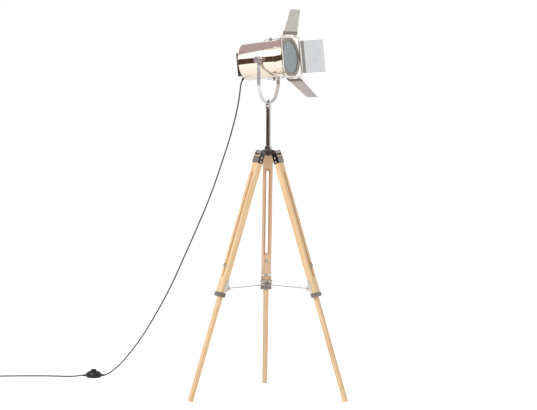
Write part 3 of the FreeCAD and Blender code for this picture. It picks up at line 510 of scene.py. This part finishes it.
# ---------- Barn doors, their frame and straps ----------
# Four leaves of thin plated sheet hang on a square strip frame. Each leaf has a duller hinge strip
# at its root, a folded hem round its free edges and short knuckles on two hinge pins.
door_sheet = polished_finish("soft_nickel_sheet", "#CECAC4", "#DAD6D1", 0.24, 0.32, 0, 0.8)
frame_strip = polished_finish("plated_door_strip", "#D9D4CE", "#E8E4DE", 0.10, 0.18)
# length, width at the hinge, width at the tip, opening angle, place round the frame
leaf_sizes = {"top": (0.096, 0.116, 0.082, 71.0, 0), "bottom": (0.101, 0.116, 0.085, 47.5, 180),
              "far": (0.095, 0.119, 0.119, 53.0, -90), "near": (0.095, 0.119, 0.119, 62.0, 90)}
hinge_ahead, hinge_out, leaf_root = 0.0935, 0.0775, 0.0032
sheet_thick, hem_width, hem_relief = 0.001, 0.0042, 0.00022
pin_radius, pin_length, pin_places = 0.0009, 0.020, (-0.046, 0.046)
knuckle_radius, knuckle_length, knuckle_apart, tab_deep = 0.0020, 0.006, 0.0073, 0.0044
strip_deep, strip_thick, strip_share = 0.012, 0.0007, 0.985


def build_leaf(name, length, base, tip, opening, turn):
    mesh = bmesh.new()
    outline = [(leaf_root, -base / 2), (length, -tip / 2), (length, tip / 2),
               (leaf_root, base / 2)]
    sheet = mesh.faces.new([mesh.verts.new((x, y, sheet_thick / 2)) for x, y in outline])
    bmesh.ops.inset_region(mesh, faces=[sheet], thickness=hem_width, depth=0.0)
    bmesh.ops.recalc_face_normals(mesh, faces=mesh.faces)
    slab = bmesh.ops.extrude_face_region(mesh, geom=list(mesh.faces))
    lower = [g for g in slab["geom"] if isinstance(g, bmesh.types.BMVert)]
    bmesh.ops.translate(mesh, verts=lower, vec=(0, 0, -sheet_thick))
    bmesh.ops.recalc_face_normals(mesh, faces=mesh.faces)
    # the field inside the hem lies a little lower on both sides
    inner = [f for f in mesh.faces if abs(f.normal.z) > 0.9 and len(f.verts) == 4
             and f.calc_area() > base * 0.03]
    for face in inner:
        step = -hem_relief if face.normal.z > 0 else hem_relief
        bmesh.ops.translate(mesh, verts=list(face.verts), vec=(0, 0, step))
    for y in pin_places:
        add_cylinder(mesh, pin_radius, pin_length, (0, y, 0), (0, 1, 0), 12)
        for side in (-1, 1):
            middle = y + side * knuckle_apart
            add_cylinder(mesh, knuckle_radius, knuckle_length, (0, middle, 0), (0, 1, 0), 24)
            add_block(mesh, (tab_deep, knuckle_length, sheet_thick), (tab_deep / 2, middle, 0))
    for height in (-strip_thick, strip_thick):
        strip = add_block(mesh, (strip_deep, base * strip_share, strip_thick),
                          (leaf_root + strip_deep / 2, 0, height))
        for face in {f for v in strip for f in v.link_faces}:
            face.material_index = 1
    place = (head_frame @ Matrix.Rotation(math.radians(turn), 4, "X")
             @ Matrix.Translation((hinge_ahead, 0, hinge_out))
             @ Matrix.Rotation(-math.radians(opening), 4, "Y"))
    return finished(name, mesh, place, door_sheet)


for label, (length, base, tip, opening, turn) in leaf_sizes.items():
    leaf = build_leaf("door_leaf_" + label, length, base, tip, opening, turn)
    leaf.data.materials.append(bezel_nickel)
    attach(leaf, "door_" + label)
    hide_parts("leaf_" + label)


def dress(node, finish):
    # a CAD piece whose shape is right keeps its mesh and takes this finish
    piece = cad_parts[node]
    for place in piece.material_slots:
        place.material = finish
    if not piece.material_slots:
        piece.data.materials.append(finish)


for node in ("door_frame", "door_straps", "strap_screw_top", "strap_screw_bottom", "head_screws"):
    dress(node, frame_strip)


# ---------- Lamp holder and gland ----------
# Inside the drum a glazed porcelain screw holder sits on a bent steel strip. On the back plate the
# cord comes out of a black nylon gland with a soft sleeve that turns it down.
porcelain = pvc_finish("glazed_porcelain", "#DEDBD2", "#ECEAE3", 0.10, 0.18)
black_nylon = pvc_finish("black_moulded_nylon", "#121212", "#1F1F1F", 0.34, 0.48)
dress("lampholder", porcelain)
dress("lampholder_bracket", bright_chrome)
dress("cable_gland", black_nylon)


# ---------- Wooden rails ----------
# Each leg is a grooved rail of pale solid wood with a thinner rail sliding in its channel, planed,
# eased at the edges and clear lacquered. The grain runs along the leg.
splay = math.radians(18.2)
pore_mm = 0.06


def lacquered_wood(name, azimuth, shift, dark, light):
    # rubberwood or beech under satin lacquer: growth lines 4 to 6 mm apart, pores 0.3 mm by 6 mm
    finish, tree, shader = new_finish(name)
    grain = add_node(tree, "ShaderNodeTexCoord").outputs["Object"]
    # turned back to the x axis, stood upright, then drawn out along the leg
    for step in ({"Rotation": (0, 0, -math.radians(azimuth))},
                 {"Rotation": (0, splay, 0), "Location": (shift, shift * 0.7, 0)},
                 {"Scale": (1.0, 1.0, 0.06)}):
        grain = add_node(tree, "ShaderNodeMapping", {"vector_type": "POINT", **step},
                         {"Vector": grain}).outputs[0]
    figure = add_node(tree, "ShaderNodeTexNoise", {"Scale": 95.0, "Detail": 3.0, "Distortion": 0.6},
                      {"Vector": grain})
    pores = add_node(tree, "ShaderNodeTexNoise", {"Scale": 700.0, "Detail": 2.0},
                     {"Vector": grain}).outputs[0]
    tone = add_node(tree, "ShaderNodeTexNoise", {"Scale": 6.0, "Detail": 2.0}, {"Vector": grain})
    ramp = add_node(tree, "ShaderNodeValToRGB", links={"Fac": figure.outputs[0]})
    for stop, position, colour in zip(ramp.color_ramp.elements, (0.30, 0.68), (dark, light)):
        stop.position = position
        stop.color = linear(colour)
    mix = add_node(tree, "ShaderNodeMix", {"data_type": "RGBA", "blend_type": "MULTIPLY",
                                           7: linear("#F8EAD8")},
                   {0: tone.outputs[0], 6: ramp.outputs[0]})
    spread = add_node(tree, "ShaderNodeMapRange", {"To Min": 0.38, "To Max": 0.55},
                      {"Value": pores})
    bump = add_node(tree, "ShaderNodeBump", {"Strength": 1.0, "Distance": pore_mm / 1000.0},
                    {"Height": pores})
    tree.links.new(mix.outputs[2], shader.inputs["Base Color"])
    tree.links.new(spread.outputs[0], shader.inputs["Roughness"])
    tree.links.new(bump.outputs[0], shader.inputs["Normal"])
    shader.inputs["IOR"].default_value = 1.5
    shader.inputs["Coat Weight"].default_value = 0.25
    shader.inputs["Coat Roughness"].default_value = 0.3
    return finish


# the direction that each leg stands in, and its wood's dark and light tones; the back leg's pair is
# darker and pinker than the others', which is painted shade on that leg
leg_wood_and_shade_tones = (
    ("back", 90, "#E0BFA2", "#F2DABF"),
    ("left", 210, "#EAC499", "#FAE1B8"),
    ("right", 330, "#E9C398", "#F8DFB7"),
)
next_board, next_slide = 0.13, 0.05
for order, (label, azimuth, dark, light) in enumerate(leg_wood_and_shade_tones):
    shift = next_board * order
    rail = lacquered_wood("lacquered_rail_" + label, azimuth, shift, dark, light)
    slide = lacquered_wood("lacquered_slide_" + label, azimuth, shift + next_slide, dark, light)
    dress("upper_leg_" + label, rail)
    dress("lower_leg_" + label, slide)


# ---------- Leg and spreader metalwork ----------
# Brackets, collars and spreader cheeks are bent from polished plated sheet. The hub is a plated
# casting, and the three spreader arms are plain plated strip, a little duller.
cast_chrome = polished_finish("plated_hub_casting", "#9A9693", "#B0ACA9", 0.10, 0.22, 0.08)
strip_steel = polished_finish("plated_strip_steel", "#B9B6B1", "#CFCCC6", 0.22, 0.36)
dark_chrome = polished_finish("smoky_nickel_plate", "#6F6862", "#8D8680", 0.08, 0.18)
for node in ("hub_casting", "spreader_hub"):
    dress(node, cast_chrome)
for node in ("hub_hinge_pins", "yoke_bolt"):
    dress(node, bright_chrome)
for label in ("back", "left", "right"):
    for stem in ("bracket_", "leg_collar_"):
        dress(stem + label, dark_chrome)
    for stem in ("leg_screws_", "spreader_bracket_", "lock_bolt_", "lock_nut_"):
        dress(stem + label, bright_chrome)
    dress("spreader_arm_" + label, strip_steel)


# ---------- Floor switch and plug ----------
# The foot switch is a round two-shell housing, its parting groove a third of the way up, with a
# round push button on the crown and a short sleeve at each cord end. The plug is moulded on.
switch_frame = (Matrix.Translation((-0.658, 0.462 + pole_y, 0))
                @ Matrix.Rotation(math.radians(5), 4, "Z"))
switch_abs = pvc_finish("black_switch_abs", "#070707", "#101010", 0.30, 0.42)
foot_switch = spun("foot_switch", [
    (0.0, 0.0), (0.0, 0.0225), (0.0007, 0.0250), (0.0028, 0.0283), (0.0062, 0.0305),
    (0.0094, 0.0312), (0.0097, 0.0308), (0.0103, 0.0308), (0.0106, 0.0312), (0.0134, 0.0308),
    (0.0170, 0.0292), (0.0203, 0.0266), (0.0230, 0.0230), (0.0251, 0.0190), (0.0264, 0.0156),
    (0.0269, 0.0131), (0.0267, 0.0114), (0.0259, 0.0109), (0.0186, 0.0108), (0.0186, 0.0)],
    switch_frame, switch_abs, 96, "Z")
sleeve_root, sleeve_tip, sleeve_length, sleeve_middle, cord_height = (
    0.0046, 0.0031, 0.0150, 0.0364, 0.009)
sleeves = bmesh.new()
for side in (-1, 1):
    add_cylinder(sleeves, sleeve_root, sleeve_length, (side * sleeve_middle, 0, cord_height),
                 (side, 0, 0), 32, sleeve_tip)
cord_sleeves = finished("switch_sleeves", sleeves, switch_frame, switch_abs)
for piece in (foot_switch, cord_sleeves):
    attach(piece, "yoke_set")
    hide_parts("switch_housing")

button_abs = pvc_finish("black_button_abs", "#0B0B0B", "#151515", 0.26, 0.36)
push_button = spun("push_button", [
    (0.0206, 0.0), (0.0206, 0.0104), (0.0306, 0.0104), (0.0320, 0.0101), (0.0329, 0.0093),
    (0.0333, 0.0080), (0.0329, 0.0060), (0.0327, 0.0)], switch_frame, button_abs, 72, "Z")
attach(push_button, "button")
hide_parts("switch_button")
dress("plug", black_nylon)


# ---------- Floor, light and what the metal mirrors ----------
# A plain pale studio sweep with two soft lamps. Big cards that only mirrors see stand round the
# lamp: dark at eye height, white over them on the left, pale blue on the right, mauve overhead.
def floor_paint():
    # matt emulsion paint: white to the camera, with a weaker glow in what the metal mirrors
    camera_glow, mirror_glow = 0.58, 0.30
    finish, tree, shader = new_finish("studio_floor_paint")
    finish.cycles.emission_sampling = "NONE"
    place = add_node(tree, "ShaderNodeTexCoord").outputs["Object"]
    mottle = add_node(tree, "ShaderNodeTexNoise", {"Scale": 3.0, "Detail": 2.0}, {"Vector": place})
    tones = add_node(tree, "ShaderNodeMix", {"data_type": "RGBA", 6: linear("#F4F3F1"),
                                             7: linear("#F8F7F5")}, {0: mottle.outputs[0]})
    tree.links.new(tones.outputs[2], shader.inputs["Base Color"])
    shader.inputs["Roughness"].default_value = 0.9
    shader.inputs["Specular IOR Level"].default_value = 0.1
    path = add_node(tree, "ShaderNodeLightPath").outputs
    mirrored = add_node(tree, "ShaderNodeMath", {"operation": "MULTIPLY", 1: mirror_glow},
                        {0: path["Is Glossy Ray"]})
    glow = add_node(tree, "ShaderNodeMath", {"operation": "MULTIPLY_ADD", 1: camera_glow},
                    {0: path["Is Camera Ray"], 2: mirrored.outputs[0]})
    shader.inputs["Emission Color"].default_value = (1, 1, 1, 1)
    tree.links.new(glow.outputs[0], shader.inputs["Emission Strength"])
    return finish


floor_mesh = bmesh.new()
bmesh.ops.create_grid(floor_mesh, x_segments=1, y_segments=1, size=30.0)
studio_floor = finished("studio_floor", floor_mesh, Matrix.Identity(4), floor_paint())


def mirror_card(name, colour, width, height, place, turn, strength=1.0):
    finish = bpy.data.materials.new(name)
    finish.cycles.emission_sampling = "NONE"
    finish.use_nodes = True
    tree = finish.node_tree
    tree.nodes.clear()
    glow = add_node(tree, "ShaderNodeEmission", {"Color": linear(colour), "Strength": strength})
    add_node(tree, "ShaderNodeOutputMaterial", links={"Surface": glow.outputs[0]})
    mesh = bmesh.new()
    bmesh.ops.create_grid(mesh, x_segments=1, y_segments=1, size=0.5)
    bmesh.ops.transform(mesh, verts=mesh.verts, matrix=Matrix.Diagonal((width, height, 1, 1)))
    card = finished(name, mesh, Matrix.Translation(place) @ turn, finish)
    card.visible_camera = False
    card.visible_diffuse = False
    card.visible_shadow = False
    card.visible_transmission = False


upright = Matrix.Rotation(math.radians(90), 4, "X")
overhead = Matrix.Rotation(math.radians(12), 4, "X")
facing_left = Matrix.Rotation(math.radians(-55), 4, "Z") @ upright
facing_right = Matrix.Rotation(math.radians(51), 4, "Z") @ upright
mirror_card("dark_card_front", "#665550", 9.0, 1.45, (0.2, -2.6, 0.78), upright)
mirror_card("grey_card_above", "#BFB1B5", 6.0, 5.0, (0.0, 2.1, 2.9), overhead)
mirror_card("dark_card_left", "#54453D", 6.0, 1.30, (-2.05, -1.60, 1.17), facing_left)
mirror_card("white_card_left", "#FFFFFF", 6.0, 2.30, (-2.05, -1.60, 2.98), facing_left, 1.5)
mirror_card("sky_card_right", "#C3CEDB", 3.2, 1.5, (1.93, -1.66, 1.75), facing_right, 1.3)

# the air is white to the camera, in mirrors and through glass, and softer as light
world = bpy.data.worlds.new("studio_air")
bpy.context.scene.world = world
world.use_nodes = True
air = world.node_tree
air.nodes.clear()
ray = add_node(air, "ShaderNodeLightPath").outputs
seen = add_node(air, "ShaderNodeMath", {"operation": "MAXIMUM"},
                {0: ray["Is Camera Ray"], 1: ray["Is Glossy Ray"]})
seen_too = add_node(air, "ShaderNodeMath", {"operation": "MAXIMUM"},
                    {0: seen.outputs[0], 1: ray["Is Transmission Ray"]})
soft_air = add_node(air, "ShaderNodeBackground",
                    {"Color": (1.0, 0.985, 0.97, 1.0), "Strength": 0.48})
white_air = add_node(air, "ShaderNodeBackground",
                     {"Color": (1.0, 1.0, 1.0, 1.0), "Strength": 1.0})
both = add_node(air, "ShaderNodeMixShader", links={0: seen_too.outputs[0], 1: soft_air.outputs[0],
                                                   2: white_air.outputs[0]})
add_node(air, "ShaderNodeOutputWorld", links={"Surface": both.outputs[0]})


def soft_lamp(name, watts, size, place):
    target = Vector((0.0, 0.0, 0.8))
    lamp = bpy.data.lights.new(name, "AREA")
    lamp.energy = watts
    lamp.size = size
    holder = bpy.data.objects.new(name, lamp)
    bpy.context.collection.objects.link(holder)
    holder.location = place
    holder.rotation_euler = (target - Vector(place)).to_track_quat("-Z", "Y").to_euler()


soft_lamp("key_softbox", 112.0, 1.6, (-2.6, -2.6, 3.4))
soft_lamp("fill_softbox", 28.0, 2.0, (3.0, -2.0, 2.6))
